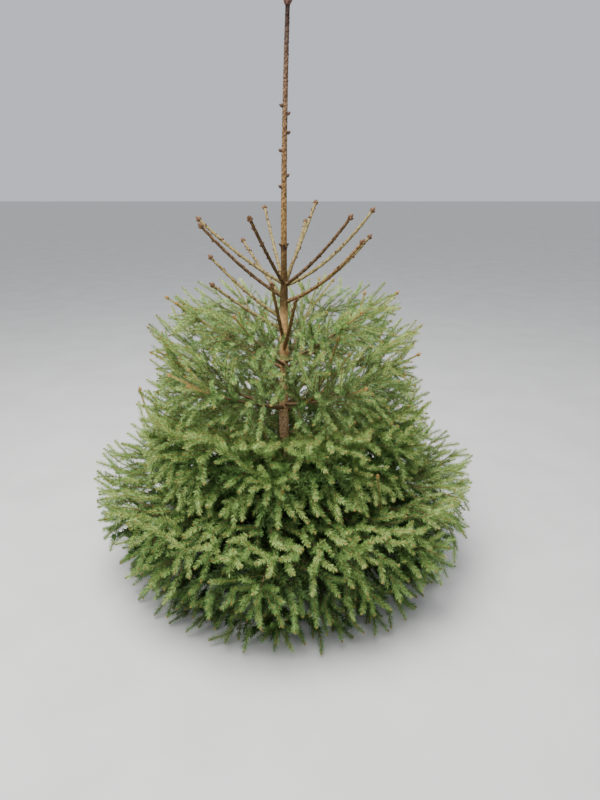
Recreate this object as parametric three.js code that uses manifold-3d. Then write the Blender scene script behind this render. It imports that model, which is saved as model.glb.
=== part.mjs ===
// A young Norway spruce grown as a Christmas tree, rooted in the ground.
// Millimetres, +Z up, +X to the right and +Y away from the side that faces the viewer.
// The origin is the centre of the flat cut through the trunk at ground level.
// The top is bare: a long leader over a whorl of bare shoots that end in buds.
// Below it five whorls carry the needles, each in its own layer of the crown.
import * as THREE from "three";
import { mergeVertices } from "three/addons/utils/BufferGeometryUtils.js";
import Module from "manifold-3d";

const wasm = await Module();
wasm.setup();

// Trunk and leader.
const HEIGHT = 2100;
const BUD_HEIGHT = 40;
const TRUNK_FOOT_RADIUS = 24;
const TRUNK_TOP_RADIUS = 14.5;
const LEADER_FOOT_RADIUS = 11.6;
const LEADER_TIP_RADIUS = 7.2;
const LEADER_STEP = 16;
const FLARE = 10;
const FLARE_HEIGHT = 42;
const FLARE_LOBES = 5;
const LEADER_LEAN = 22;
const LEADER_BASE = 1140;
const TRUNK_BOW = 5;
const TRUNK_SIDES = 10;
const TRUNK_STEP = 172;

// Single buds up the leader, and a ring of buds where the last flush of growth began.
const LEADER_BUDS = [
  { height: 1494, azimuth: 205 },
  { height: 1531, azimuth: 335 },
  { height: 1613, azimuth: 170 },
  { height: 1670, azimuth: 10 },
  { height: 1730, azimuth: 340 },
  { height: 1755, azimuth: 195 },
];
const BUD_RING_HEIGHT = 1286;
const BUD_RING_COUNT = 4;
const SIDE_BUD = { length: 20, radius: 3.6 };
const END_BUD = { length: 24, radius: 6.2, spread: 0.9 };

// The bare shoots: foot is the height of the root on the trunk, run and rise are the tip's distance out
// and up, and sag is how much it bends before it turns up. Azimuth 0 points to the right, 90 away.
const BARE_SHOOTS = [
  { azimuth: 15, foot: 1143, run: 360, rise: 288, sag: 0.5 },
  { azimuth: 24, foot: 1079, run: 380, rise: 248, sag: 0.42 },
  { azimuth: 61, foot: 1153, run: 262, rise: 296, sag: 0.12 },
  { azimuth: 75, foot: 1135, run: 335, rise: 236, sag: 0.1 },
  { azimuth: 106, foot: 1146, run: 316, rise: 281, sag: 0.06 },
  { azimuth: 127, foot: 1090, run: 292, rise: 210, sag: 0.1 },
  { azimuth: 160, foot: 1013, run: 316, rise: 236, sag: 0.2 },
  { azimuth: 168, foot: 1150, run: 340, rise: 243, sag: 0.2 },
  { azimuth: 187, foot: 974, run: 276, rise: 186, sag: 0.16 },
  { azimuth: 196, foot: 1098, run: 312, rise: 282, sag: 0.26 },
  { azimuth: 250, foot: 1147, run: 306, rise: 264, sag: 0.1 },
  { azimuth: 264, foot: 934, run: 297, rise: 268, sag: 0.12 },
  { azimuth: 280, foot: 894, run: 302, rise: 262, sag: 0.12 },
  { azimuth: 324, foot: 1145, run: 296, rise: 268, sag: 0.32 },
  { azimuth: 346, foot: 1083, run: 304, rise: 242, sag: 0.5 },
];
const SHOOT_ROOT_RADIUS = 6;
const SHOOT_TIP_RADIUS = 4.6;

// The needled whorls from the ground up. run is how far the tips reach from the axis, rise how much higher
// they end, slope the limb's slope at the trunk. limb is the share of the run that is a bare bough with a
// node of its own, isDense marks a mass with a closed heart, droop is how far the side twigs hang in degrees.
const WHORLS = [
  {
    name: "ground", foot: 100, run: 668, rise: -24, slope: -0.1, count: 5, turn: 54,
    limb: 0.17, radius: 11, laterals: 6, isDense: true, droop: 10,
  },
  {
    name: "skirt", foot: 262, run: 752, rise: 34, slope: -0.03, count: 6, turn: 22,
    limb: 0.16, radius: 11, laterals: 6, isDense: true, droop: 14,
  },
  {
    name: "lower", foot: 465, run: 570, rise: 130, slope: 0.12, count: 5, turn: 50,
    limb: 0.15, radius: 10, laterals: 6, isDense: true, droop: 8,
  },
  {
    name: "middle", foot: 655, run: 516, rise: 226, slope: 0.33, count: 6, turn: 0,
    limb: 0, radius: 8.5, laterals: 10, isDense: false, droop: 0,
  },
  {
    name: "upper", foot: 832, run: 432, rise: 276, slope: 0.5, count: 6, turn: 8,
    limb: 0, radius: 7.5, laterals: 12, isDense: false, droop: 10,
  },
];
const TURN_JITTER = 6;
const FOOT_STAGGER = 14;
const CROWN_CEILING_FOOT = 950;
const CROWN_CEILING_SLOPE = 0.42;
const GROUND_CLEAR = 14;
const STEM_TIP_RADIUS = 3;
const STEM_NEEDLES_FROM = 0.68;
const HEART_FROM = 0.02;
const HEART_TO = 0.92;
const HEART_STATIONS = 10;
const HEART_SIDES = 10;
const HEART_SHARE = 0.94;
const HEART_NOTCH = 0.66;
const HEART_SWEEP = 44;
const HEART_ABOVE = 140;
const HEART_BELOW = 165;

// Side twigs and the sprays of needles on them. Lengths are shares of the whorl's run.
const LATERAL_FIRST = 0.24;
const LATERAL_LAST = 0.9;
const LATERAL_ROOT_SHARE = 0.5;
const LATERAL_TIP_SHARE = 0.2;
const LATERAL_SWING = 56;
const LATERAL_TILT = 26;
const SUB_SWING = 48;
const SUB_PLACE = 0.45;
const SUB_SHARE = 0.5;
const SUB_LEAST_PARENT = 150;
const TWIG_LEAST = 72;
const TWIG_LIFT = 0.12;
const SHRINK = 0.82;
const SHRINK_TRIES = 4;
const SPRAY_STEP = 95;
const SPRAY_CORE = 5.5;
const SPRAY_SPACING = 38;
const NEEDLE_OUT = 30;
const NEEDLE_FORWARD = 18;

const GAP = 0.32;
const CLEAR = 3;
const CLEAR_OF_LIMB = 6;
const UP = new THREE.Vector3(0, 0, 1);
const { degToRad: rad, lerp, smoothstep } = THREE.MathUtils;

const BARK = new THREE.MeshStandardMaterial({ color: 0x8a6446, roughness: 0.9, metalness: 0 });
const SHOOT_BARK = new THREE.MeshStandardMaterial({ color: 0x9a7b4c, roughness: 0.85, metalness: 0 });
const BOUGH_BARK = new THREE.MeshStandardMaterial({ color: 0x6e5138, roughness: 0.9, metalness: 0 });
const NEEDLES = new THREE.MeshStandardMaterial({ color: 0x4d6b38, roughness: 0.6, metalness: 0 });

// A repeatable stream of numbers from 0 to 1 for one seed.
function seeded(seed) {
  let state = seed >>> 0;
  return () => {
    state = (Math.imul(state, 1664525) + 1013904223) >>> 0;
    return state / 4294967296;
  };
}

// One number from -1 to 1 out of a stream.
const either = (draw) => 2 * draw() - 1;

// A unit vector along the ground at an azimuth in degrees.
const outward = (azimuth) => new THREE.Vector3(Math.cos(rad(azimuth)), Math.sin(rad(azimuth)), 0);

// Solids and meshes.

function solidOf(geometry) {
  const bare = geometry.index ? geometry.toNonIndexed() : geometry.clone();
  bare.deleteAttribute("normal");
  bare.deleteAttribute("uv");
  const merged = mergeVertices(bare, 1e-3);
  return new wasm.Manifold(
    new wasm.Mesh({
      numProp: 3,
      vertProperties: merged.attributes.position.array,
      triVerts: new Uint32Array(merged.index.array),
    }),
  );
}

function geometryOf(corners, triangles) {
  const geometry = new THREE.BufferGeometry();
  const numbers = corners.flatMap((p) => [p.x, p.y, p.z]);
  geometry.setAttribute("position", new THREE.Float32BufferAttribute(numbers, 3));
  geometry.setIndex(triangles.flat());
  return geometry;
}

// The largest piece of a solid, with any hollow sealed inside it filled.
function soundBody(solid) {
  const bodies = solid.decompose().filter((body) => body.volume() > 0);
  return bodies.reduce((best, body) => (body.volume() > best.volume() ? body : best));
}

function meshOf(name, solid, material) {
  const { numProp, numVert, vertProperties, triVerts } = solid.getMesh();
  const corners = new Float32Array(numVert * 3);
  for (let i = 0; i < numVert; i++) {
    corners.set(vertProperties.subarray(i * numProp, i * numProp + 3), i * 3);
  }
  const geometry = new THREE.BufferGeometry();
  geometry.setAttribute("position", new THREE.BufferAttribute(corners, 3));
  geometry.setIndex(new THREE.BufferAttribute(triVerts, 1));
  const mesh = new THREE.Mesh(geometry, material);
  mesh.name = name;
  return mesh;
}

// Two directions square to a tangent: one level, one as near upright as it can be.
function crossAxes(tangent) {
  const other = Math.abs(tangent.z) > 0.97 ? outward(0) : UP;
  const level = new THREE.Vector3().crossVectors(tangent, other).normalize();
  return [level, new THREE.Vector3().crossVectors(level, tangent)];
}

// The corners of a ring round a point of a path, first corner upwards.
function ring(centre, tangent, radius, sides) {
  const [level, upright] = crossAxes(tangent);
  return Array.from({ length: sides }, (_, k) => {
    const angle = (2 * Math.PI * k) / sides;
    return centre
      .clone()
      .addScaledVector(upright, radius * Math.cos(angle))
      .addScaledVector(level, radius * Math.sin(angle));
  });
}

// A closed surface through rings of equal count, with flat ends. A quad is split from a to c or b to d.
function loft(rings, isSplitAC = () => true) {
  const sides = rings[0].length;
  const triangles = [];
  for (let j = 0; j + 1 < rings.length; j++) {
    for (let k = 0; k < sides; k++) {
      const [a, b] = [j * sides + k, j * sides + ((k + 1) % sides)];
      const [c, d] = [b + sides, a + sides];
      if (isSplitAC(j, k)) triangles.push([a, b, c], [a, c, d]);
      else triangles.push([a, b, d], [b, c, d]);
    }
  }
  const last = (rings.length - 1) * sides;
  for (let k = 1; k + 1 < sides; k++) {
    triangles.push([0, k + 1, k], [last, last + k, last + k + 1]);
  }
  return geometryOf(rings.flat(), triangles);
}

// A limb along a path given as a function of its share, with a radius at each station.
function limb(pathAt, from, to, steps, sides, radiusAt) {
  const rings = [];
  for (let i = 0; i <= steps; i++) {
    const share = from + ((to - from) * i) / steps;
    rings.push(ring(pathAt(share), tangentOf(pathAt, share), radiusAt(share), sides));
  }
  return solidOf(loft(rings));
}

function tangentOf(pathAt, share) {
  const step = 0.002;
  return pathAt(share + step).sub(pathAt(share - step)).normalize();
}

// A spray of needles: a three-sided core that ends in a point, with a needle on each face of each step.
function spray(pathAt, from, length, core) {
  const steps = Math.max(1, Math.round(length / SPRAY_STEP));
  const sides = 3;
  const corners = [];
  const points = [];
  const triangles = [];
  const shareOf = (j) => from + ((1 - from) * j) / (steps + 0.6);
  for (let j = 0; j <= steps; j++) {
    const share = shareOf(j);
    corners.push(...ring(pathAt(share), tangentOf(pathAt, share), core * (1 - (0.6 * j) / steps), sides));
  }
  for (let j = 0; j < steps; j++) {
    for (let k = 0; k < sides; k++) {
      const [a, b] = [j * sides + k, j * sides + ((k + 1) % sides)];
      const [c, d] = [b + sides, a + sides];
      const middle = shareOf(j + 0.5);
      const tangent = tangentOf(pathAt, middle);
      const foot = corners[a].clone().add(corners[b]).add(corners[c]).add(corners[d]).multiplyScalar(0.25);
      const out = foot.clone().sub(pathAt(middle));
      out.addScaledVector(tangent, -out.dot(tangent)).normalize();
      points.push(foot.addScaledVector(out, NEEDLE_OUT).addScaledVector(tangent, NEEDLE_FORWARD));
      const p = sides * (steps + 1) + points.length - 1;
      triangles.push([a, b, p], [b, c, p], [c, d, p], [d, a, p]);
    }
  }
  const all = [...corners, ...points, pathAt(1)];
  const last = steps * sides;
  for (let k = 0; k < sides; k++) {
    triangles.push([last + k, last + ((k + 1) % sides), all.length - 1]);
  }
  triangles.push([0, 2, 1]);
  return solidOf(geometryOf(all, triangles));
}

// A bud: eight faces, its root sunk in what carries it.
function bud(at, direction, { length, radius }) {
  const geometry = new THREE.OctahedronGeometry(1);
  geometry.scale(radius, length / 2, radius);
  geometry.applyQuaternion(new THREE.Quaternion().setFromUnitVectors(new THREE.Vector3(0, 1, 0), direction));
  geometry.translate(...at.clone().addScaledVector(direction, length * 0.3).toArray());
  return solidOf(geometry);
}

// Buds round the end of a shoot: one ahead and the others spread about it.
function budCluster(at, direction, size, spread, count) {
  const [level, lift] = crossAxes(direction);
  const buds = [bud(at, direction, size)];
  for (let k = 0; k < count; k++) {
    const angle = (2 * Math.PI * (k + 0.5)) / count;
    const side = level.clone().multiplyScalar(Math.cos(angle)).addScaledVector(lift, Math.sin(angle));
    const aim = direction.clone().addScaledVector(side, spread).normalize();
    buds.push(bud(at, aim, { length: size.length * 0.8, radius: size.radius * 0.85 }));
  }
  return buds;
}

// The trunk.

// The centre of the trunk at a height: a faint bow below and the leader's lean above.
function trunkCentre(z) {
  const up = Math.max(0, (z - LEADER_BASE) / (HEIGHT - LEADER_BASE));
  const bow = TRUNK_BOW * Math.sin((Math.PI * z) / LEADER_BASE);
  return new THREE.Vector3(LEADER_LEAN * up * up - (z < LEADER_BASE ? bow : 0), bow * 0.6, z);
}

// The trunk tapers to the top whorl, steps in there, and goes on as the thinner leader.
function trunkRadius(z) {
  const wood = lerp(TRUNK_FOOT_RADIUS, TRUNK_TOP_RADIUS, z / LEADER_BASE);
  const up = Math.max(0, (z - LEADER_BASE) / (HEIGHT - LEADER_BASE));
  const leader = lerp(LEADER_FOOT_RADIUS, LEADER_TIP_RADIUS, up);
  const step = smoothstep(z, LEADER_BASE - LEADER_STEP, LEADER_BASE + LEADER_STEP);
  return lerp(wood, leader, step) + FLARE * Math.exp(-z / FLARE_HEIGHT);
}

function trunkSolid(extra) {
  const heights = [0, 18, 40, 70, 110, 170];
  for (let z = 260; z < LEADER_BASE - LEADER_STEP; z += TRUNK_STEP) heights.push(z);
  heights.push(LEADER_BASE - LEADER_STEP, LEADER_BASE + LEADER_STEP);
  for (let z = LEADER_BASE + TRUNK_STEP; z < HEIGHT - BUD_HEIGHT; z += TRUNK_STEP) heights.push(z);
  heights.push(HEIGHT - BUD_HEIGHT + 6);
  const rings = heights.map((z) => {
    const centre = trunkCentre(z);
    return Array.from({ length: TRUNK_SIDES }, (_, k) => {
      const angle = (2 * Math.PI * k) / TRUNK_SIDES;
      const lobe = 1 + 0.16 * Math.exp(-z / FLARE_HEIGHT) * Math.cos(FLARE_LOBES * angle);
      const radius = trunkRadius(z) * lobe + extra;
      return centre.clone().add(new THREE.Vector3(radius * Math.cos(angle), radius * Math.sin(angle), 0));
    });
  });
  return solidOf(loft(rings));
}

function trunkWithBuds() {
  const parts = [trunkSolid(0)];
  for (const { height, azimuth } of LEADER_BUDS) parts.push(sideBud(height, azimuth));
  for (let i = 0; i < BUD_RING_COUNT; i++) parts.push(sideBud(BUD_RING_HEIGHT, (360 * i) / BUD_RING_COUNT));
  parts.push(...budCluster(trunkCentre(HEIGHT - BUD_HEIGHT), UP, { length: 50, radius: 8.5 }, 0.75, 4));
  return wasm.Manifold.union(parts);
}

function sideBud(z, azimuth) {
  const side = outward(azimuth);
  const at = trunkCentre(z).addScaledVector(side, trunkRadius(z) * 0.8);
  return bud(at, side.addScaledVector(UP, 0.9).normalize(), SIDE_BUD);
}

const trunkClearance = trunkSolid(GAP);

// Bare shoots of the top.

function shootPath({ azimuth, foot, run, rise, sag }) {
  const side = outward(azimuth);
  return (share) =>
    trunkCentre(foot)
      .addScaledVector(side, run * share)
      .addScaledVector(UP, rise * share + sag * run * (share * share - share));
}

// A bare shoot swells into its end bud, with two smaller buds beside it.
function bareShoot(shoot) {
  const pathAt = shootPath(shoot);
  const radiusAt = (share) => SHOOT_ROOT_RADIUS + (SHOOT_TIP_RADIUS - SHOOT_ROOT_RADIUS) * share;
  const ringAt = (share, radius) => ring(pathAt(share), tangentOf(pathAt, share), radius, 4);
  const rings = [0, 0.3, 0.6, 0.93].map((share) => ringAt(share, radiusAt(share)));
  rings.push(ringAt(0.96, END_BUD.radius), ringAt(1, 1));
  const ahead = tangentOf(pathAt, 0.93);
  const sides = [1, -1].map((side) => {
    const aim = ahead.clone().addScaledVector(crossAxes(ahead)[0], side * END_BUD.spread).normalize();
    return bud(pathAt(0.935), aim, END_BUD);
  });
  return soundBody(wasm.Manifold.union([solidOf(loft(rings)), ...sides]).subtract(trunkClearance));
}

// The layers of the crown.

// The height of a whorl's limbs at a distance from the axis.
function layerMiddle({ foot, run, rise, slope }, distance) {
  return foot + slope * distance + ((rise - slope * run) * distance * distance) / (run * run);
}

function layerFloor(index, distance) {
  if (index === 0) return GROUND_CLEAR;
  return (layerMiddle(WHORLS[index - 1], distance) + layerMiddle(WHORLS[index], distance)) / 2;
}

function layerCeiling(index, distance) {
  if (index === WHORLS.length - 1) return CROWN_CEILING_FOOT + CROWN_CEILING_SLOPE * distance;
  return layerFloor(index + 1, distance);
}

// The azimuths of a whorl's limbs, even but for a seeded share of irregularity.
function limbAzimuths(index) {
  const { count, turn } = WHORLS[index];
  const draw = seeded(100 + index);
  return Array.from({ length: count }, (_, i) => turn + (360 * i) / count + TURN_JITTER * either(draw));
}

// A mass keeps to the sector between its neighbours and to its whorl's layer.
function spaceOf(index, place, azimuths) {
  const count = azimuths.length;
  const own = azimuths[place];
  const before = place > 0 ? azimuths[place - 1] : azimuths[count - 1] - 360;
  const after = place + 1 < count ? azimuths[place + 1] : azimuths[0] + 360;
  const right = outward((own + before) / 2 + 90);
  const left = outward((own + after) / 2 - 90);
  const seed = 1000 * (index + 1) + 100 * place;
  const reach = WHORLS[index].run;
  return { index, seed, right, left, ahead: outward(own), aside: outward(own + 90), reach };
}

function isInside(point, space) {
  const distance = Math.hypot(point.x, point.y);
  return (
    point.dot(space.right) > CLEAR &&
    point.dot(space.left) > CLEAR &&
    distance < space.reach &&
    distance > trunkRadius(point.z) + TRUNK_BOW + CLEAR &&
    point.z > layerFloor(space.index, distance) + CLEAR &&
    point.z < layerCeiling(space.index, distance) - CLEAR
  );
}

// A straight twig whose tip lifts a little.
function twigPath({ root, direction, length }) {
  return (share) =>
    root
      .clone()
      .addScaledVector(direction, length * share)
      .addScaledVector(UP, TWIG_LIFT * length * share * share);
}

// True where a spray on this twig, needles included, stays in its space and off the bare limb under it.
function fits(twig, space, bareLimb) {
  const pathAt = twigPath(twig);
  return [0.35, 0.7, 1].every((share) => {
    const at = pathAt(share);
    const corners = ring(at, tangentOf(pathAt, share), share < 1 ? NEEDLE_OUT + SPRAY_CORE : SPRAY_CORE, 4);
    return corners.every((p) => isInside(p, space) && bareLimb(p) > CLEAR_OF_LIMB);
  });
}

const along = (pathAt, from, to, count) =>
  Array.from({ length: count }, (_, i) => pathAt(from + ((to - from) * i) / (count - 1)));

// True where the outer half of a twig keeps its needles off the twigs before it.
function isFree(twig, taken) {
  return along(twigPath(twig), 0.5, 1, 5).every((p) => taken.every((q) => p.distanceTo(q) > SPRAY_SPACING));
}

// The twig, shortened in steps until it fits, or null.
function fitted(twig, space, bareLimb, taken) {
  for (let i = 0; i < SHRINK_TRIES && twig.length >= TWIG_LEAST; i++) {
    if (fits(twig, space, bareLimb) && isFree(twig, taken)) return twig;
    twig = { ...twig, length: twig.length * SHRINK };
  }
  return null;
}

// A direction swung sideways from another and tilted up or down.
function turned(ahead, swing, tilt) {
  return ahead
    .clone()
    .applyAxisAngle(UP, rad(swing))
    .addScaledVector(UP, Math.tan(rad(tilt)))
    .normalize();
}

// The side twigs of a mass: laterals to both sides of the stem and finer ones on the longer laterals.
function growTwigs(whorl, pathAt, space, bareLimb) {
  const twigs = [];
  const taken = along(pathAt, 0.3, 1, 24);
  const grow = (twig) => {
    const grown = fitted(twig, space, bareLimb, taken);
    if (!grown) return;
    twigs.push(grown);
    taken.push(...along(twigPath(grown), 0.2, 1, 8));
  };
  for (let i = 0; i < whorl.laterals; i++) {
    const draw = seeded(space.seed + 31 * i);
    const side = i % 2 ? 1 : -1;
    const place = lerp(LATERAL_FIRST, LATERAL_LAST, (i + 0.25 * draw()) / (whorl.laterals - 1));
    const share = Math.max(place, whorl.limb + 0.05);
    const tilt = (i % 4 < 2 ? 1 : -1) * LATERAL_TILT * (0.5 + draw() * 0.7) - whorl.droop;
    const swing = side * (LATERAL_SWING + 7 * either(draw));
    const length = whorl.run * lerp(LATERAL_ROOT_SHARE, LATERAL_TIP_SHARE, share);
    const before = twigs.length;
    grow({ root: pathAt(share), direction: turned(tangentOf(pathAt, share), swing, tilt), length });
    const lateral = twigs[before];
    if (whorl.isDense || !lateral || lateral.length < SUB_LEAST_PARENT) continue;
    grow({
      root: twigPath(lateral)(SUB_PLACE),
      direction: turned(lateral.direction, -side * (SUB_SWING + 8 * either(draw)), -0.6 * tilt),
      length: lateral.length * SUB_SHARE,
    });
  }
  return twigs;
}

// The path of a whorl's limb from the trunk's centre to its tip. Neighbours start at staggered heights.
function limbPath(whorl, azimuth, place) {
  const side = outward(azimuth);
  const stagger = FOOT_STAGGER * ((place % 3) - 1);
  return (share) => {
    const distance = whorl.run * share;
    const height = layerMiddle(whorl, distance) + stagger * (1 - share);
    return side.clone().multiplyScalar(distance).setZ(height);
  };
}

function limbRadius(whorl) {
  return (share) => STEM_TIP_RADIUS + (whorl.radius - STEM_TIP_RADIUS) * (1 - share) ** 1.3;
}

// The distance of a point from the bare stretch of a limb.
function distanceFromLimb(whorl, pathAt) {
  if (!whorl.limb) return () => Infinity;
  const stations = Array.from({ length: 9 }, (_, i) => pathAt((whorl.limb * i) / 8));
  return (point) => Math.min(...stations.map((s) => s.distanceTo(point))) - whorl.radius;
}

function bough(whorl, azimuth, place) {
  const pathAt = limbPath(whorl, azimuth, place);
  const solid = limb(pathAt, 0, whorl.limb, 2, 6, limbRadius(whorl));
  return soundBody(solid.subtract(trunkClearance));
}

// The size of a dense mass's closed heart against its space, at a share of its length.
const swell = (share) => HEART_SHARE * Math.sin(Math.PI * (0.12 + 0.62 * share)) ** 0.35;

// The half width of a sector on one side of its limb, at a distance along it.
function halfWidth({ ahead, aside, left, right }, distance, isLeft) {
  const wall = isLeft ? left : right;
  return Math.abs((ahead.dot(wall) / aside.dot(wall)) * distance);
}

// The lowest and highest points of the heart at a distance from the axis.
function heartSpan(index, distance) {
  const middle = layerMiddle(WHORLS[index], distance);
  return {
    low: Math.max(layerFloor(index, distance), middle - HEART_BELOW),
    high: Math.min(layerCeiling(index, distance), middle + HEART_ABOVE),
  };
}

// A corner of the heart: across and up are its shares of the space, to the left and above its middle.
function heartCorner(space, distance, across, up, size, sweep) {
  const corner = space.ahead
    .clone()
    .multiplyScalar(distance + sweep)
    .addScaledVector(space.aside, across * size * halfWidth(space, distance, across > 0));
  corner.multiplyScalar(Math.min(1, (space.reach - CLEAR) / corner.length()));
  const { low, high } = heartSpan(space.index, corner.length());
  return corner.setZ((high + low) / 2 + (up * size * (high - low)) / 2);
}

// Every other corner stands out as a forward-swept point, like the side shoots that it stands for.
function heart(space) {
  const { run, limb: bare } = WHORLS[space.index];
  const draw = seeded(space.seed);
  const squarer = (v) => Math.sign(v) * Math.abs(v) ** 0.6;
  const isPoint = (j, k) => (j + k) % 2 === 1;
  const rings = [];
  for (let j = 0; j <= HEART_STATIONS; j++) {
    const share = j / HEART_STATIONS;
    const distance = run * lerp(bare + HEART_FROM, HEART_TO, share);
    rings.push(
      Array.from({ length: HEART_SIDES }, (_, k) => {
        const angle = (2 * Math.PI * k) / HEART_SIDES;
        const size = swell(share) * (isPoint(j, k) ? 1 - 0.12 * draw() : HEART_NOTCH);
        const sweep = isPoint(j, k) ? HEART_SWEEP : 0;
        return heartCorner(space, distance, -squarer(Math.sin(angle)), squarer(Math.cos(angle)), size, sweep);
      }),
    );
  }
  return solidOf(loft(rings, (j, k) => !isPoint(j, k)));
}

// The share of a twig's length that is hidden in its mass's heart.
function hiddenShare(twig, space) {
  const pathAt = twigPath(twig);
  const shares = [0.8, 0.7, 0.6, 0.5, 0.4, 0.3, 0.2, 0.1];
  return shares.find((share) => isInHeart(pathAt(share), space)) ?? 0;
}

function isInHeart(point, space) {
  const { run, limb: bare, isDense } = WHORLS[space.index];
  const distance = point.dot(space.ahead);
  const share = (distance / run - bare - HEART_FROM) / (HEART_TO - bare - HEART_FROM);
  if (!isDense || share < 0 || share > 1) return false;
  const { low, high } = heartSpan(space.index, Math.hypot(point.x, point.y));
  const aside = point.dot(space.aside);
  const across = aside / halfWidth(space, distance, aside > 0);
  const up = (2 * point.z - high - low) / (high - low);
  return Math.hypot(across, up) < 0.8 * HEART_NOTCH * swell(share);
}

function foliage(index, place, azimuths) {
  const whorl = WHORLS[index];
  const pathAt = limbPath(whorl, azimuths[place], place);
  const space = spaceOf(index, place, azimuths);
  const start = whorl.limb ? whorl.limb + GAP / whorl.run : 0;

  const parts = [limb(pathAt, start, STEM_NEEDLES_FROM + 0.1, whorl.isDense ? 1 : 2, 5, limbRadius(whorl))];
  if (whorl.isDense) parts.push(heart(space));
  parts.push(spray(pathAt, STEM_NEEDLES_FROM, whorl.run * (1 - STEM_NEEDLES_FROM), SPRAY_CORE));
  for (const twig of growTwigs(whorl, pathAt, space, distanceFromLimb(whorl, pathAt))) {
    const from = hiddenShare(twig, space);
    parts.push(spray(twigPath(twig), from, twig.length * (1 - from), SPRAY_CORE));
  }
  const whole = wasm.Manifold.union(parts);
  return soundBody(whorl.limb ? whole : whole.subtract(trunkClearance));
}

const tree = new THREE.Group();
tree.add(meshOf("trunk", trunkWithBuds(), BARK));
BARE_SHOOTS.forEach((shoot, i) => tree.add(meshOf(`shoot_${i + 1}`, bareShoot(shoot), SHOOT_BARK)));
WHORLS.forEach((whorl, index) => {
  const azimuths = limbAzimuths(index);
  azimuths.forEach((azimuth, place) => {
    const name = `${whorl.name}_${place + 1}`;
    if (whorl.limb) tree.add(meshOf(`bough_${name}`, bough(whorl, azimuth, place), BOUGH_BARK));
    tree.add(meshOf(`foliage_${name}`, foliage(index, place, azimuths), NEEDLES));
  });
});

export default tree;
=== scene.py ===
import math

import bpy
import numpy as np
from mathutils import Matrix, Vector


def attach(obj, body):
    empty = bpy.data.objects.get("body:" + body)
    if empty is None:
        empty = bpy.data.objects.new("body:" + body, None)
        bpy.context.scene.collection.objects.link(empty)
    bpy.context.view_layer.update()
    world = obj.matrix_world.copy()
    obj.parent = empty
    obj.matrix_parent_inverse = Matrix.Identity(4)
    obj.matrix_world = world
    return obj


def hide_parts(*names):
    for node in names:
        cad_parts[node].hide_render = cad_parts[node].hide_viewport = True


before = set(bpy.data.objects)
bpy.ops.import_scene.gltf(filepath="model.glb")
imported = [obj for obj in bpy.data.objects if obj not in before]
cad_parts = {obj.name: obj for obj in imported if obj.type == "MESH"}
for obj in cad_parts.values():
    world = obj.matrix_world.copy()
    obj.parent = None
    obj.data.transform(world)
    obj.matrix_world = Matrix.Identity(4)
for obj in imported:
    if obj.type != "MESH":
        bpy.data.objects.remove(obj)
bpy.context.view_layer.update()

# Sizes are in millimetres, as in the part's source, and meshes are made in metres.
MM = 0.001
UP = np.array([0.0, 0.0, 1.0])

# Trunk and leader, as in the source.
HEIGHT = 2100
BUD_HEIGHT = 40
TRUNK_FOOT_RADIUS = 24
TRUNK_TOP_RADIUS = 14.5
LEADER_FOOT_RADIUS = 11.6
LEADER_TIP_RADIUS = 7.2
LEADER_STEP = 16
FLARE = 10
FLARE_HEIGHT = 42
FLARE_LOBES = 5
LEADER_LEAN = 22
LEADER_BASE = 1140
TRUNK_BOW = 5
LEADER_BUDS = [(1494, 205), (1531, 335), (1613, 170), (1670, 10), (1730, 340), (1755, 195)]
BUD_RING_HEIGHT = 1286
BUD_RING_COUNT = 4
GOLDEN_ANGLE = 137.5

# Bare shoots: azimuth, foot on the trunk, run and rise of the tip and sag, as in the source, and tint.
BARE_SHOOTS = [
    (15, 1143, 360, 288, 0.5, "olive"),
    (24, 1079, 380, 248, 0.42, "olive"),
    (61, 1153, 262, 296, 0.12, "pale"),
    (75, 1135, 335, 236, 0.1, "pale"),
    (106, 1146, 316, 281, 0.06, "pale"),
    (127, 1090, 292, 210, 0.1, "pale"),
    (160, 1013, 316, 236, 0.2, "olive"),
    (168, 1150, 340, 243, 0.2, "olive"),
    (187, 974, 276, 186, 0.16, "olive"),
    (196, 1098, 312, 282, 0.26, "dark"),
    (250, 1147, 306, 264, 0.1, "dark"),
    (264, 934, 297, 268, 0.12, "brown"),
    (280, 894, 302, 262, 0.12, "brown"),
    (324, 1145, 296, 268, 0.32, "dark"),
    (346, 1083, 304, 242, 0.5, "brown"),
]
SHOOT_ROOT_RADIUS = 6
SHOOT_TIP_RADIUS = 4.6

# Bark relief, and the knobs, pegs and knots on bare wood.
TRUNK_SIDES = 28
FOOT_RING_STEP = 4.0
FOOT_RINGS_TOP = 120
RING_STEP = 4.2
LOBE_DEPTH = 0.16
PLATE_DEPTH = 0.8
RIDGE_ROW = 7.2
RIDGES_ROUND = 8
RIDGE_DEPTH = 0.55
KNOTS = (100, 262, 465, 655, 832, 894, 934, 1083, 1146, BUD_RING_HEIGHT)
KNOT_DEPTH = 1.3
KNOT_SPREAD = 9
SHOOT_SIDES = 9
SHOOT_STATIONS = 60
SHOOT_BARK = 0.8
SHOOT_ROUGHNESS = 0.9
SHOOT_KNOBS = 12
BOUGH_SIDES = 7
BOUGH_STATIONS = 36
PEG_LENGTH = 6
PEG_RADIUS = 2
SHOOT_PEGS = 64
LEADER_PEGS = 340

# Buds: length and greatest radius.
END_BUD = (33, 10)
END_SIDE_BUD = (22, 6.5)
LEADER_BUD = (16, 6)
RING_BUD = (15, 4.4)
SHOOT_END_BUD = (21, 6.4)
BARE_TIP_BUD = (17, 4.4)
STOUT_TWIG_BUD = (9, 2.8)
TWIG_BUD = (8, 2.2)

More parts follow.
